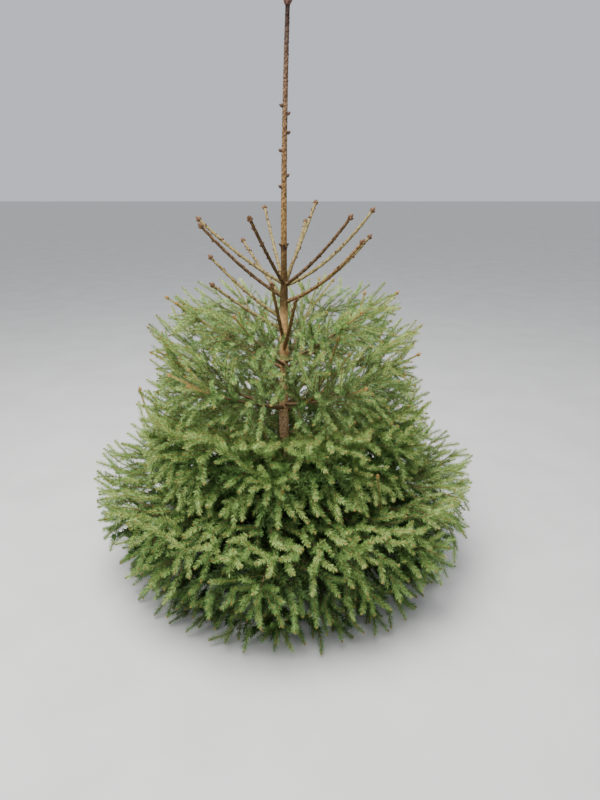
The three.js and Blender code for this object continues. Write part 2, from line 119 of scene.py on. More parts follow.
# The needled whorls ground, skirt, lower, middle and upper, as in the source. years is the age of the limb's
# wood, and hang how far its side branches are tilted up or down in degrees.
WHORLS = [
    dict(foot=100, run=668, rise=-24, slope=-0.1, count=5, turn=54, limb=0.17, radius=11,
         laterals=6, dense=True, droop=10, years=6, hang=-18, spacing=(45, 70), least=72, longest=150),
    dict(foot=262, run=752, rise=34, slope=-0.03, count=6, turn=22, limb=0.16, radius=11,
         laterals=6, dense=True, droop=14, years=6, hang=-20, spacing=(50, 78), least=74, longest=160),
    dict(foot=465, run=570, rise=130, slope=0.12, count=5, turn=50, limb=0.15, radius=10,
         laterals=6, dense=True, droop=8, years=5, hang=-8, spacing=(50, 78), least=76, longest=165),
    dict(foot=655, run=516, rise=226, slope=0.33, count=6, turn=0, limb=0, radius=8.5,
         laterals=10, dense=False, droop=0, years=4, hang=14, spacing=(57, 78), least=92, longest=190),
    dict(foot=832, run=432, rise=276, slope=0.5, count=6, turn=8, limb=0, radius=7.5,
         laterals=12, dense=False, droop=10, years=3, hang=22, spacing=(58, 78), least=96, longest=200),
]
TURN_JITTER = 6
FOOT_STAGGER = 14
CROWN_CEILING_FOOT = 950
CROWN_CEILING_SLOPE = 0.42
GROUND_CLEAR = 14
STEM_TIP_RADIUS = 3
LATERAL_FIRST = 0.24
LATERAL_LAST = 0.9
LATERAL_ROOT_SHARE = 0.5
LATERAL_TIP_SHARE = 0.2
LATERAL_SWING = 56
LATERAL_TILT = 26
SUB_SWING = 48
SUB_PLACE = 0.45
SUB_SHARE = 0.5
SUB_LEAST_PARENT = 150
TWIG_LEAST = 72
TWIG_LIFT = 0.12
SHRINK = 0.82
SHRINK_TRIES = 4
SPRAY_SPACING = 38
SPRAY_REACH = 35.5
CLEAR = 3
CLEAR_OF_LIMB = 6

# Finer twigs. The whorls are open from number FIRST_OPEN up. A shoot's zone is the whorl it is needled like.
FIRST_OPEN = 3
SHELL = 95
REACH_ABOVE = 185
REACH_BELOW = 190
FORK_ANGLE = 36
BEND_COST = 45
MOST_BEND = 74
GROWTH_PASSES = 2
TARGET_TRIES = 5000
TARGET_CLEAR = 30
EDGE_CROWDING = 0.2
PULL_OUTWARD = 1.4
PULL_REACH = 160
WEDGE_OVERLAP = 4
LAYER_OVERLAP = 26

# Needled shoots on the trunk: lowest and highest foot, how many, shortest and longest, and zone.
TRUNK_SHOOTS = [(30, 560, 150, 140, 290, 1), (560, 1000, 70, 80, 190, 3)]

# Needles: shorter and fewer on the open whorls, stubble on the bare tips, broad and few inside the crown.
NEEDLE_LENGTH = 15
NEEDLE_WIDTH = 1.75
NEEDLE_TIP_SHARE = 0.6
NEEDLE_LEAN = 54
BRUSH_END = 9
NEEDLES_PER_MM = 1.32
LEAST_NEEDLES = 6
OLD_DENSITY = 0.58
OPEN_DENSITY = 0.82
OPEN_LENGTH = 0.8
STUBBLE_LENGTH = 0.4
INNER_DEPTH = 100
INNER_DENSITY = 0.34
INNER_WIDTH = 9
INNER_LENGTH = 24
MOST_NEEDLES = 98000

# How light a needle's colour is, with a random part for each shoot and each needle, and painted light and
# shade.
LIGHT_BASE = 0.27
LIGHT_AT_TIP = 0.17
# Painted light near the crown's surface and painted shade deeper in it.
LIGHT_AT_SURFACE = 0.40
OLD_SHADE = 0.1
# Painted shade near the ground, below LOW_SHADE_HEIGHT.
LOW_SHADE = 0.38
LOW_SHADE_HEIGHT = 380
# Painted light higher up, rising over HIGH_LIGHT_REACH above LOW_SHADE_HEIGHT.
HIGH_LIGHT = 0.14
HIGH_LIGHT_REACH = 150
NEEDLE_SPREAD = 0.11
SHOOT_SPREAD = 0.11
OPEN_SPREAD = 0.17

# Two openings in the side of the crown that faces the camera, where the trunk shows: their lowest and highest
# point on the trunk, and how they rise with the distance from it.
TRUNK_OPENINGS = [(548, 682, 0.38), (850, 1110, 0.24)]
OPENING_HALF_WIDTH = 30
OPENING_DRIFT = 0.026

# The crown's outline from the ground up: distance from the axis and height.
CROWN_PROFILE = np.array([(640, 0), (668, 60), (752, 300), (690, 410), (560, 470), (575, 610), (516, 880),
                          (432, 1108), (330, 1100)], float)

# Steep, nearly bare shoots: the number of the whorl and the limb they grow from, the share of it where they
# start, and the tip's azimuth, distance out and height.
BARE_TIPS = [
    (3, 5, 0.28, 305, 330, 1000),
    (3, 5, 0.32, 322, 300, 921),
    (3, 3, 0.55, 200, 480, 931),
    (3, 0, 0.62, 340, 470, 842),
    (3, 1, 0.45, 52, 390, 950),
    (3, 2, 0.5, 132, 410, 960),
    (4, 1, 0.35, 80, 380, 1090),
    (4, 1, 0.5, 60, 400, 1110),
    (4, 0, 0.5, 22, 405, 1010),
    (4, 3, 0.45, 212, 330, 985),
    (2, 0, 0.8, 44, 560, 760),
    (2, 2, 0.8, 186, 565, 750),
    (4, 3, 0.5, 189, 396, 1086),
    (3, 4, 0.74, 223, 437, 900),
    (3, 4, 0.74, 221, 501, 892),
    (2, 2, 0.86, 214, 530, 700),
    (2, 3, 0.3, 255, 311, 712),
    (4, 0, 0.56, 14, 321, 1099),
    (3, 0, 0.56, 342, 389, 926),
    (1, 4, 0.5, 270, 500, 540),
    (2, 4, 0.71, 316, 501, 672),
    (1, 5, 0.55, 305, 560, 575),
]


def seeded(seed):
    """The source's repeatable stream of numbers from 0 to 1."""
    state = seed & 0xFFFFFFFF

    def draw():
        nonlocal state
        state = (state * 1664525 + 1013904223) & 0xFFFFFFFF
        return state / 4294967296

    return draw


def either(draw):
    return 2 * draw() - 1


def outward(azimuth):
    a = math.radians(azimuth)
    return np.array([math.cos(a), math.sin(a), 0.0])


def unit(v):
    return v / np.linalg.norm(v, axis=-1, keepdims=True)


# Trunk.

def trunk_centre(z):
    z = np.asarray(z, float)
    up = np.maximum(0, (z - LEADER_BASE) / (HEIGHT - LEADER_BASE))
    bow = TRUNK_BOW * np.sin(np.pi * z / LEADER_BASE)
    x = LEADER_LEAN * up * up - np.where(z < LEADER_BASE, bow, 0)
    return np.stack([x, bow * 0.6, z], -1)


def trunk_radius(z):
    z = np.asarray(z, float)
    wood = TRUNK_FOOT_RADIUS + (TRUNK_TOP_RADIUS - TRUNK_FOOT_RADIUS) * z / LEADER_BASE
    up = np.maximum(0, (z - LEADER_BASE) / (HEIGHT - LEADER_BASE))
    leader = LEADER_FOOT_RADIUS + (LEADER_TIP_RADIUS - LEADER_FOOT_RADIUS) * up
    step = np.clip((z - LEADER_BASE + LEADER_STEP) / (2 * LEADER_STEP), 0, 1)
    step = step * step * (3 - 2 * step)
    return wood + (leader - wood) * step + FLARE * np.exp(-z / FLARE_HEIGHT)


# The layers and sectors of the crown.

def layer_middle(whorl, distance):
    bend = (whorl["rise"] - whorl["slope"] * whorl["run"]) / whorl["run"] ** 2
    return whorl["foot"] + whorl["slope"] * distance + bend * distance * distance


def layer_floor(index, distance):
    if index == 0:
        return GROUND_CLEAR + 0 * distance
    return (layer_middle(WHORLS[index - 1], distance) + layer_middle(WHORLS[index], distance)) / 2


def layer_ceiling(index, distance):
    if index == len(WHORLS) - 1:
        return CROWN_CEILING_FOOT + CROWN_CEILING_SLOPE * distance
    return layer_floor(index + 1, distance)


def limb_azimuths(index):
    whorl = WHORLS[index]
    draw = seeded(100 + index)
    count = whorl["count"]
    return [whorl["turn"] + 360 * i / count + TURN_JITTER * either(draw) for i in range(count)]


def space_of(index, place, azimuths):
    count = len(azimuths)
    own = azimuths[place]
    before = azimuths[place - 1] if place > 0 else azimuths[-1] - 360
    after = azimuths[place + 1] if place + 1 < count else azimuths[0] + 360
    return dict(
        index=index,
        seed=1000 * (index + 1) + 100 * place,
        right=outward((own + before) / 2 + 90),
        left=outward((own + after) / 2 - 90),
        reach=WHORLS[index]["run"],
        wedge=((own + before) / 2, (own + after) / 2),
    )


def is_inside(points, space, margin):
    distance = np.hypot(points[..., 0], points[..., 1])
    z = points[..., 2]
    return (
        (points @ space["right"] > margin)
        & (points @ space["left"] > margin)
        & (distance < space["reach"])
        & (distance > trunk_radius(z) + TRUNK_BOW + CLEAR)
        & (z > np.maximum(layer_floor(space["index"], distance) + margin, GROUND_CLEAR))
        & (z < layer_ceiling(space["index"], distance) - margin)
    )


def limb_path(whorl, azimuth, place):
    side = outward(azimuth)
    stagger = FOOT_STAGGER * ((place % 3) - 1)

    def at(share):
        share = np.asarray(share, float)
        distance = whorl["run"] * share
        height = layer_middle(whorl, distance) + stagger * (1 - share)
        return distance[..., None] * side + height[..., None] * UP

    return at


def tangent_of(path, share):
    return unit(path(np.asarray(share) + 0.002) - path(np.asarray(share) - 0.002))


def twig_path(twig):
    root, direction, length = twig

    def at(share):
        share = np.asarray(share, float)[..., None]
        return root + direction * length * share + UP * TWIG_LIFT * length * share * share

    return at


def cross_axes(tangent):
    level = np.cross(tangent, UP)
    steep = np.linalg.norm(level, axis=-1, keepdims=True) < 0.25
    level = unit(np.where(steep, np.cross(tangent, outward(0)), level))
    return level, np.cross(level, tangent)


def square_to(ahead, angle):
    """The way square to a heading, at an angle round it."""
    level, lift = cross_axes(ahead)
    return level * math.cos(angle) + lift * math.sin(angle)


def rising(root, direction, length, lift, count):
    """Points along a straight way that bends upwards."""
    share = np.linspace(0, 1, count)[:, None]
    return root + direction * length * share + UP * lift * length * share * share


def arched(root, knee, tip, count):
    t = np.linspace(0, 1, count)[:, None]
    return root * (1 - t) ** 2 + knee * 2 * t * (1 - t) + tip * t * t


def turned(ahead, swing, tilt):
    c, s = math.cos(math.radians(swing)), math.sin(math.radians(swing))
    x, y, z = ahead
    return unit(np.array([c * x - s * y, s * x + c * y, z + math.tan(math.radians(tilt))]))


# The source's twigs.

def fits(twig, space, off_limb):
    path = twig_path(twig)
    for share in (0.35, 0.7, 1.0):
        at = path(share)
        level, lift = cross_axes(tangent_of(path, share))
        out = SPRAY_REACH if share < 1 else SPRAY_REACH - 30
        corners = np.array([at + out * lift, at + out * level, at - out * lift, at - out * level])
        if not is_inside(corners, space, CLEAR).all() or off_limb(corners).min() <= CLEAR_OF_LIMB:
            return False
    return True


def is_free(twig, taken):
    points = twig_path(twig)(np.linspace(0.5, 1, 5))
    gaps = np.linalg.norm(points[:, None] - np.array(taken)[None], axis=-1)
    return gaps.min() > SPRAY_SPACING


def off_limb_of(whorl, path):
    if not whorl["limb"]:
        return lambda points: np.full(len(points), np.inf)
    stations = path(np.linspace(0, whorl["limb"], 9))
    return lambda points: np.linalg.norm(points[:, None] - stations[None], axis=-1).min(1) - whorl["radius"]


def source_twigs(whorl, path, space):
    """The side twigs that the solids have, by the same rule."""
    off_limb = off_limb_of(whorl, path)
    taken = list(path(np.linspace(0.3, 1, 24)))
    twigs = []

    def grow(root, direction, length):
        for _ in range(SHRINK_TRIES):
            if length < TWIG_LEAST:
                return None
            twig = (root, direction, length)
            if fits(twig, space, off_limb) and is_free(twig, taken):
                twigs.append(twig)
                taken.extend(twig_path(twig)(np.linspace(0.2, 1, 8)))
                return twig
            length *= SHRINK
        return None

    for i in range(whorl["laterals"]):
        draw = seeded(space["seed"] + 31 * i)
        side = 1 if i % 2 else -1
        place = LATERAL_FIRST + (LATERAL_LAST - LATERAL_FIRST) * (i + 0.25 * draw()) / (whorl["laterals"] - 1)
        share = max(place, whorl["limb"] + 0.05)
        tilt = (1 if i % 4 < 2 else -1) * LATERAL_TILT * (0.5 + draw() * 0.7) - whorl["droop"]
        swing = side * (LATERAL_SWING + 7 * either(draw))
        length = whorl["run"] * (LATERAL_TIP_SHARE + (LATERAL_ROOT_SHARE - LATERAL_TIP_SHARE) * (1 - share))
        lateral = grow(path(share), turned(tangent_of(path, share), swing, tilt), length)
        if whorl["dense"] or not lateral or lateral[2] < SUB_LEAST_PARENT:
            continue
        grow(
            twig_path(lateral)(SUB_PLACE),
            turned(lateral[1], -side * (SUB_SWING + 8 * either(draw)), -0.6 * tilt),
            lateral[2] * SUB_SHARE,
        )
    return twigs


# Finer growth: shoots that fork forward from the stem and the source's laterals towards points spread evenly
# through the mass's space, closer together near the crown's surface than inside it.

SHOOTS = []


def depth_in_crown(points, is_dense=True):
    """How deep points lie under the crown's outline or, in its dense part, under the top of that part."""
    distance, z = np.hypot(points[..., 0], points[..., 1]), points[..., 2]
    places = np.stack([distance, z], -1)[..., None, :]
    starts, ways = CROWN_PROFILE[:-1], np.diff(CROWN_PROFILE, axis=0)
    share = np.clip(((places - starts) * ways).sum(-1) / (ways ** 2).sum(-1), 0, 1)
    gap = np.linalg.norm(places - starts - share[..., None] * ways, axis=-1).min(-1)
    depth = np.where(distance < np.interp(z, CROWN_PROFILE[:-1, 1], CROWN_PROFILE[:-1, 0]), gap, -gap)
    return np.minimum(depth, layer_floor(FIRST_OPEN, distance) - z) if is_dense else depth


def add_shoot(points, root_radius, tip_radius, age, zone, density=1.0, stubble=False):
    """One year's needled shoot along points. age 0 is this year's, and zone the whorl it is needled like."""
    SHOOTS.append(dict(points=points, radii=(root_radius, tip_radius), age=age, zone=zone, density=density,
                       stubble=stubble))


class Skeleton:
    """The wood of one mass that shoots can fork from: places, headings, and the shoot each belongs to."""

    def __init__(self):
        self.places, self.headings, self.owners, self.shoots = [], [], [], []

    def add(self, points, owner=None, is_stem=False):
        number = len(self.shoots)
        self.shoots.append(dict(points=points, owner=owner, age=0, is_stem=is_stem))
        headings = unit(np.gradient(points, axis=0))
        self.places.extend(points[1:])
        self.headings.extend(headings[1:])
        self.owners.extend([number] * (len(points) - 1))
        while owner is not None:
            age = self.shoots[number]["age"] + 1
            if self.shoots[owner]["age"] >= age:
                break
            self.shoots[owner]["age"] = age
            number, owner = owner, self.shoots[owner]["owner"]

    def fork_to(self, target, pull, least, most):
        """A new shoot from the best place on the wood to a target, or nothing where none can reach it."""
        ways = target - np.array(self.places)
        gaps = np.linalg.norm(ways, axis=1)
        if gaps.min() < TARGET_CLEAR:
            return False
        aims = ways / gaps[:, None]
        headings = np.array(self.headings)
        bend = np.degrees(np.arccos(np.clip((aims * headings).sum(1), -1, 1)))
        cost = gaps * (1 + np.abs(bend - FORK_ANGLE) / BEND_COST + PULL_OUTWARD * (1 - aims @ pull))
        cost[(gaps < least) | (gaps > most) | (bend > MOST_BEND)] = np.inf
        best = int(np.argmin(cost))
        if not np.isfinite(cost[best]):
            return False
        root, heading, way = np.array(self.places[best]), headings[best], ways[best]
        knee = root + (unit(way) * 0.82 + heading * 0.18) * gaps[best] * 0.5
        points = arched(root, knee, target, 5)
        if not hides_trunk(points).any():
            self.add(points, self.owners[best])
        return True


def hides_trunk(points):
    """Whether points lie in one of the openings through which the trunk shows."""
    ahead = -points[..., 1]
    offset = np.abs(points[..., 0] - OPENING_DRIFT * ahead)
    inside = np.zeros(ahead.shape, bool)
    for low, high, slope in TRUNK_OPENINGS:
        height = points[..., 2] - slope * ahead
        inside |= (height > low) & (height < high)
    return inside & (ahead > 10) & (offset < OPENING_HALF_WIDTH)


def spread_targets(index, space, rng):
    """Points spread through a mass's space, from the trunk outwards."""
    whorl = WHORLS[index]
    first, last = space["wedge"]
    azimuth = rng.uniform(first - WEDGE_OVERLAP, last + WEDGE_OVERLAP, TARGET_TRIES)
    distance = whorl["run"] * np.sqrt(rng.uniform(0.015, 1, TARGET_TRIES))
    low, high = layer_floor(index, distance), layer_ceiling(index, distance)
    if whorl["dense"]:
        middle = layer_middle(whorl, distance)
        low, high = np.maximum(low, middle - REACH_BELOW), np.minimum(high, middle + REACH_ABOVE)
    z = low + (high - low) * rng.random(TARGET_TRIES)
    a = np.radians(azimuth)
    points = np.stack([distance * np.cos(a), distance * np.sin(a), z], -1)
    points = points[is_inside(points, space, -LAYER_OVERLAP)]
    depth = depth_in_crown(points, whorl["dense"])
    near, far = whorl["spacing"]
    from_middle = np.abs(points[:, 2] - layer_middle(whorl, np.hypot(points[:, 0], points[:, 1])))
    spacing = np.where(depth < SHELL, near, far) * (1 - EDGE_CROWDING * np.clip(from_middle / 60 - 1, 0, 1))
    taken = np.zeros((0, 3))
    for point, gap in zip(points, spacing):
        if len(taken) == 0 or np.linalg.norm(taken - point, axis=1).min() > gap:
            taken = np.vstack([taken, point])
    return taken[np.argsort(np.hypot(taken[:, 0], taken[:, 1]))]


def pull_at(index, point):
    """The way shoots like to grow at a point: outwards, up above the limb and hanging below it."""
    whorl = WHORLS[index]
    distance = math.hypot(point[0], point[1])
    lift = math.tan(math.radians(whorl["hang"])) + (point[2] - layer_middle(whorl, distance)) / PULL_REACH
    return unit(np.array([point[0] / distance, point[1] / distance, lift]))


def side_limbs(index, path, marks, space, skeleton, rng):
    """Long side branches in pairs at the end of each year's growth of the stem."""
    whorl = WHORLS[index]
    for mark in marks[1:-1]:
        ahead = tangent_of(path, mark)
        for side in (-1, 1):
            direction = turned(ahead, side * rng.uniform(38, 52), rng.normal(whorl["hang"] * 0.3, 9))
            length = whorl["run"] * (1.04 - mark) * rng.uniform(0.75, 0.95)
            for _ in range(7):
                points = rising(path(mark), direction, length, 0.06, 12)
                if is_inside(points[4:], space, -10).all() and not hides_trunk(points).any():
                    skeleton.add(points, 0)
                    break
                length *= 0.84


def star(index, path, share, count, space, skeleton, rng):
    """Shoots all round the stem at one place, as at the end of a year's growth."""
    ahead = tangent_of(path, share)
    for k in range(count):
        side = square_to(ahead, 2 * np.pi * (k + rng.uniform(-0.2, 0.2)) / count)
        direction = unit(ahead + side * rng.uniform(0.6, 1.0))
        length = rng.uniform(0.75, 1) * WHORLS[index]["longest"]
        for _ in range(5):
            points = path(share) + direction * length * np.linspace(0, 1, 6)[:, None]
            if is_inside(points[1:], space, -10).all() and not hides_trunk(points).any():
                skeleton.add(points, 0)
                break
            length *= 0.85


def mass(index, place, azimuths):
    """One mass: its stem, its laterals and the shoots that fork from them."""
    whorl = WHORLS[index]
    path = limb_path(whorl, azimuths[place], place)
    space = space_of(index, place, azimuths)
    rng = np.random.default_rng(space["seed"])
    years = whorl["years"]
    first = whorl["limb"] or 0.12
    marks = first + (1 - first) * (np.arange(years + 1) / years) ** 0.94
    skeleton = Skeleton()
    skeleton.add(path(np.linspace(first, 1, 30)), is_stem=True)
    for twig in source_twigs(whorl, path, space):
        skeleton.add(twig_path(twig)(np.linspace(0, 1, 9)), 0)
    side_limbs(index, path, marks, space, skeleton, rng)
    for mark in marks[-3:-1]:
        star(index, path, mark, 5, space, skeleton, rng)
    targets = spread_targets(index, space, rng)
    for _ in range(GROWTH_PASSES):
        targets = [target for target in targets
                   if not skeleton.fork_to(target, pull_at(index, target), whorl["least"], whorl["longest"])]
    for shoot in skeleton.shoots:
        if shoot["is_stem"]:
            add_stem(whorl, path, marks, index)
        else:
            age = shoot["age"]
            thick = 1.5 + 0.35 * min(age, 4)
            add_shoot(shoot["points"], thick, 1.3 + 0.1 * min(age, 3), age, index)


def add_stem(whorl, path, marks, index):
    """The stem of a mass, a year's growth at a time. The last is nearly bare on the open whorls."""
    years = len(marks) - 1
    for year in range(years):
        points = path(np.linspace(marks[year], marks[year + 1], 7))
        remaining = years - year - 1
        bare_end = not whorl["dense"] and remaining == 0
        thick = 2.0 + 0.5 * (remaining + 1) + 1.2 * bare_end
        density = 0.5 if year == 0 else 1.0
        add_shoot(points, thick, thick - 0.3, remaining, index, density, bare_end)


def trunk_shoots():
    """Needled shoots on the trunk: short ones between the whorls, and longer ones inside the dense crown."""
    rng = np.random.default_rng(77)
    for low, high, count, shortest, longest, zone in TRUNK_SHOOTS:
        for i in range(count):
            z = low + (high - low) * (i + rng.random()) / count
            azimuth = GOLDEN_ANGLE * i + rng.uniform(-20, 20)
            direction = unit(outward(azimuth) + UP * rng.uniform(0.0, 0.6))
            length = rng.uniform(shortest, longest)
            root = trunk_centre(z) + outward(azimuth) * trunk_radius(z) * 0.8
            points = rising(root, direction, length, 0.1, 7)
            if not hides_trunk(points).any():
                add_shoot(points, 2.2, 1.4, 1, zone, 0.8)


def bare_tips():
    """The steep, nearly bare shoots on the limbs."""
    for index, place, share, azimuth, distance, height in BARE_TIPS:
        path = limb_path(WHORLS[index], limb_azimuths(index)[place], place)
        root, tip = path(share), outward(azimuth) * distance + UP * height
        knee = root + tangent_of(path, share) * 0.3 * np.linalg.norm(tip - root)
        add_shoot(arched(root, knee, tip, 9), 4.2, 3.6, 0, 4, 1.0, True)


for index in range(len(WHORLS)):
    azimuths = limb_azimuths(index)
    for place in range(len(azimuths)):
        mass(index, place, azimuths)
trunk_shoots()
bare_tips()


# Meshes.

def add_object(name, data):
    thing = bpy.data.objects.new(name, data)
    bpy.context.scene.collection.objects.link(thing)
    return thing


def make_piece(name, corners, faces, material, slot, replaced, smooth=False):
    """An object from corners in millimetres and triangles, attached to the root body, with the parts it
    replaces hidden.
    """
    mesh = bpy.data.meshes.new(name)
    mesh.vertices.add(len(corners))
    corners = np.array(corners, float)
    corners[:, 2] = np.maximum(corners[:, 2], 0)
    mesh.vertices.foreach_set("co", (corners * MM).astype(np.float32).ravel())
    mesh.loops.add(3 * len(faces))
    mesh.loops.foreach_set("vertex_index", np.asarray(faces, np.int32).ravel())
    mesh.polygons.add(len(faces))
    mesh.polygons.foreach_set("loop_start", np.arange(0, 3 * len(faces), 3, dtype=np.int32))
    mesh.update(calc_edges=True)
    mesh.validate()
    mesh.polygons.foreach_set("use_smooth", np.full(len(mesh.polygons), smooth))
    mesh.materials.append(material)
    piece = add_object(name, mesh)
    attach(piece, "root")
    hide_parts(*replaced)


def ring_faces(rows, sides):
    """The triangles between rows of corners, each of which goes once round."""
    j, k = np.meshgrid(np.arange(rows - 1), np.arange(sides), indexing="ij")
    a, b = j * sides + k, j * sides + (k + 1) % sides
    return np.concatenate([np.stack([a, b, b + sides], -1).reshape(-1, 3),
                           np.stack([a, b + sides, a + sides], -1).reshape(-1, 3)])


def cap(sides, first, tip):
    """The triangles between the row that starts at corner first and the corner tip."""
    ks = np.arange(sides)
    return np.stack([first + ks, first + (ks + 1) % sides, np.full(sides, tip)], -1)


def tube(points, radii, sides):
    """Corners and faces of a tube along points, with one radius at each or one row of radii round each."""
    points = np.asarray(points, float)
    n = len(points)
    tangents = unit(np.gradient(points, axis=0))
    level, lift = cross_axes(tangents)
    angles = 2 * np.pi * np.arange(sides) / sides
    radii = np.broadcast_to(np.asarray(radii, float).reshape(n, -1), (n, sides))
    around = lift[:, None] * np.cos(angles)[None, :, None] + level[:, None] * np.sin(angles)[None, :, None]
    rings = (points[:, None] + around * radii[..., None]).reshape(-1, 3)
    corners = np.vstack([rings, points[-1] + tangents[-1] * radii[-1].mean()])
    return corners, np.vstack([ring_faces(n, sides), cap(sides, (n - 1) * sides, len(rings))])


def joined(parts):
    corners, faces, start = [], [], 0
    for c, f in parts:
        corners.append(c)
        faces.append(np.asarray(f) + start)
        start += len(c)
    return np.vstack(corners), np.vstack(faces)


BUD_CORNERS = np.array([[1, 0, 0], [-0.5, 0.87, 0], [-0.5, -0.87, 0], [0, 0, 1], [0, 0, -1]])
BUD_FACES = np.array([[0, 1, 3], [1, 2, 3], [2, 0, 3], [1, 0, 4], [2, 1, 4], [0, 2, 4]])


def bud(at, direction, length, radius):
    """A pointed bud, widest below its middle."""
    direction = unit(np.asarray(direction, float))
    level, lift = cross_axes(direction)
    across, lengthways = BUD_CORNERS[:, :2] * radius, BUD_CORNERS[:, 2:]
    along = lengthways * length * np.where(lengthways > 0, 0.72, 0.28)
    corners = at + across[:, :1] * level + across[:, 1:] * lift + along * direction
    return corners, BUD_FACES


def round_bud(at, direction, length, radius):
    """A stout bud with a blunt foot and a pointed tip."""
    direction = unit(np.asarray(direction, float))
    shares = np.array([-0.28, -0.1, 0.2, 0.5])
    return tube(at + direction * (shares * length)[:, None], radius * np.array([0.5, 0.95, 1.0, 0.55]), 6)


def bud_cluster(at, ahead, length, radius, side_count, spread, rng, shape=bud):
    """A bud at the end of a shoot with smaller ones round it."""
    parts = [shape(at + ahead * length * 0.3, ahead, length, radius)]
    for k in range(side_count):
        side = square_to(ahead, 2 * np.pi * (k + rng.uniform(-0.15, 0.15)) / side_count + 0.4)
        aim = unit(ahead + side * spread)
        parts.append(shape(at + side * radius * 0.5, aim, length * 0.85, radius * 0.8))
    return parts


def pegs(points, radii, count, rng):
    """The short pegs that needles leave on bare wood, wound round it at equal steps."""
    parts = []
    steps = np.linspace(0.03, 0.97, count) * (len(points) - 1)
    for i, step in enumerate(steps):
        place = int(step)
        at = points[place] + (points[place + 1] - points[place]) * (step - place)
        ahead = unit(points[place + 1] - points[place])
        side = square_to(ahead, math.radians(GOLDEN_ANGLE) * i + rng.uniform(-0.3, 0.3))
        aim = unit(side + ahead * 1.2)
        size = rng.uniform(0.8, 1.25)
        out = radii[0] + (radii[1] - radii[0]) * step / (len(points) - 1)
        parts.append(bud(at + side * out * 0.9, aim, PEG_LENGTH * size, PEG_RADIUS * size))
    return parts


# Materials.

BARK_SHINE = 0.1
TWIST_ANGLE = 38
TWIST_SCALE = 20

# The trunk's tone by share of the height: salmon-brown with painted light low down, a dark band, then
# orange-brown to purplish.
TRUNK_TONES = [
    (0.0, (0.15, 0.105, 0.06)),
    (0.24, (0.50, 0.31, 0.16)),
    # Painted light: the salmon-brown is lighter here to make up for the crown's shade on the trunk.
    (0.3, (0.74, 0.48, 0.28)),
    (0.4, (0.62, 0.37, 0.18)),
    (0.505, (0.60, 0.37, 0.16)),
    (0.53, (0.11, 0.070, 0.028)),
    (0.60, (0.12, 0.072, 0.028)),
    (0.617, (0.17, 0.10, 0.04)),
    (0.625, (0.065, 0.034, 0.018)),
    (0.633, (0.20, 0.12, 0.045)),
    (0.65, (0.30, 0.182, 0.066)),
    (0.81, (0.225, 0.137, 0.074)),
    (0.905, (0.162, 0.102, 0.068)),
    (0.95, (0.095, 0.062, 0.047)),
    (0.98, (0.045, 0.028, 0.024)),
]
MOTTLE = [(0.34, (0.36, 0.33, 0.30)), (0.52, (0.92, 0.92, 0.92)), (0.70, (1.4, 1.38, 1.3))]
# Grooves: darker slanting bands, partly the bark's own tone and partly painted shade in the grooves, lighter
# between them.
GROOVES = [(0.1, (0.52, 0.47, 0.44)), (0.45, (1.0, 1.0, 1.0)), (0.9, (1.18, 1.15, 1.08))]
GROOVE_STRENGTH = [(0.58, (0.25, 0.25, 0.25)), (0.68, (1, 1, 1))]
FLOOR_TONES = [(0.3, (0.60, 0.59, 0.57)), (0.7, (0.66, 0.65, 0.63))]


def new_material(name, roughness, shine):
    material = bpy.data.materials.new(name)
    material.use_nodes = True
    nodes = material.node_tree.nodes
    shader = nodes["Principled BSDF"]
    shader.inputs["Roughness"].default_value = roughness
    shader.inputs["Specular IOR Level"].default_value = shine
    return material, nodes, material.node_tree.links, shader


def new_node(nodes, kind, **values):
    """A node with values for its inputs. An underscore stands for a space."""
    node = nodes.new("ShaderNode" + kind)
    for name, value in values.items():
        node.inputs[name.replace("_", " ")].default_value = value
    return node


def noise(nodes, links, scale, detail):
    node = new_node(nodes, "TexNoise", Scale=scale, Detail=detail)
    coords = new_node(nodes, "TexCoord")
    links.new(coords.outputs["Object"], node.inputs["Vector"])
    return node.outputs["Fac"]


def ramp(nodes, links, factor, stops):
    node = new_node(nodes, "ValToRGB")
    elements = node.color_ramp.elements
    while len(elements) < len(stops):
        elements.new(0.5)
    for element, (position, colour) in zip(elements, stops):
        element.position = position
        element.color = (*colour, 1)
    links.new(factor, node.inputs["Fac"])
    return node.outputs["Color"]


def multiplied(nodes, links, first, second, amount=None):
    node = new_node(nodes, "Mix")
    node.data_type = "RGBA"
    node.blend_type = "MULTIPLY"
    node.inputs["Factor"].default_value = 1.0
    if amount is not None:
        links.new(amount, node.inputs["Factor"])
    links.new(first, node.inputs["A"])
    links.new(second, node.inputs["B"])
    return node.outputs["Result"]


def bump(nodes, links, height, strength, distance, shader):
    node = new_node(nodes, "Bump", Strength=strength, Distance=distance)
    links.new(height, node.inputs["Height"])
    links.new(node.outputs["Normal"], shader.inputs["Normal"])


def toned_material(name, scale, detail, stops, roughness, shine, relief=0):
    """A material whose colour, and relief where that isn't 0, follows noise."""
    material, nodes, links, shader = new_material(name, roughness, shine)
    fac = noise(nodes, links, scale, detail)
    links.new(ramp(nodes, links, fac, stops), shader.inputs["Base Color"])
    if relief:
        bump(nodes, links, fac, relief, 0.0015, shader)
    return material


def needle_material(name, shade, light):
    return toned_material(name, 42, 3, [(0.36, shade), (0.64, light)], 0.52, 0.25)


def bark_material(name, dark, mid, light, scale=260, relief=0.5):
    return toned_material(name, scale, 6, [(0.34, dark), (0.5, mid), (0.68, light)], 0.82, BARK_SHINE, relief)


def bud_material(name, dark, light):
    return toned_material(name, 520, 4, [(0.35, dark), (0.65, light)], 0.55, 0.25)


